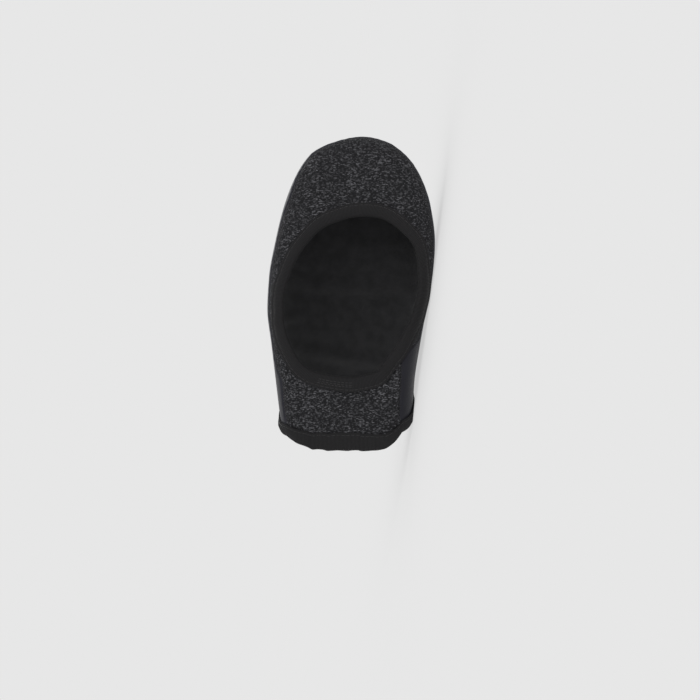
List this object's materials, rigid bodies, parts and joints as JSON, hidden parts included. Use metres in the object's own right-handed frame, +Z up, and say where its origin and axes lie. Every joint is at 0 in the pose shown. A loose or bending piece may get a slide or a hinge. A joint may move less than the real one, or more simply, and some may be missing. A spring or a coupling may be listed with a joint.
{
  "type": "cycling toe cover",
  "caption": "Toe cover for a right cycling shoe: hollow soft upper, knit underside with a cleat opening, and bound edges, lying on its inner side.",
  "frame": {"origin": "middle of the footprint, on the floor, under the cover lying on its inner side", "axes": "+X to the toe, +Y to the instep with the underside facing -Y, +Z up to the outer side of the foot"},
  "size_m": [0.1784, 0.072, 0.0915],
  "materials": {
    "upper_cloth": "smooth satin softshell, near black",
    "heather_knit": "heathered charcoal knit",
    "binding_tape": "finely ribbed black tape"
  },
  "bodies": {
    "root": {"upper": "upper_cloth", "sole_panel": "heather_knit", "cleat_binding": "binding_tape", "collar_binding": "binding_tape"}
  },
  "joints": []
}
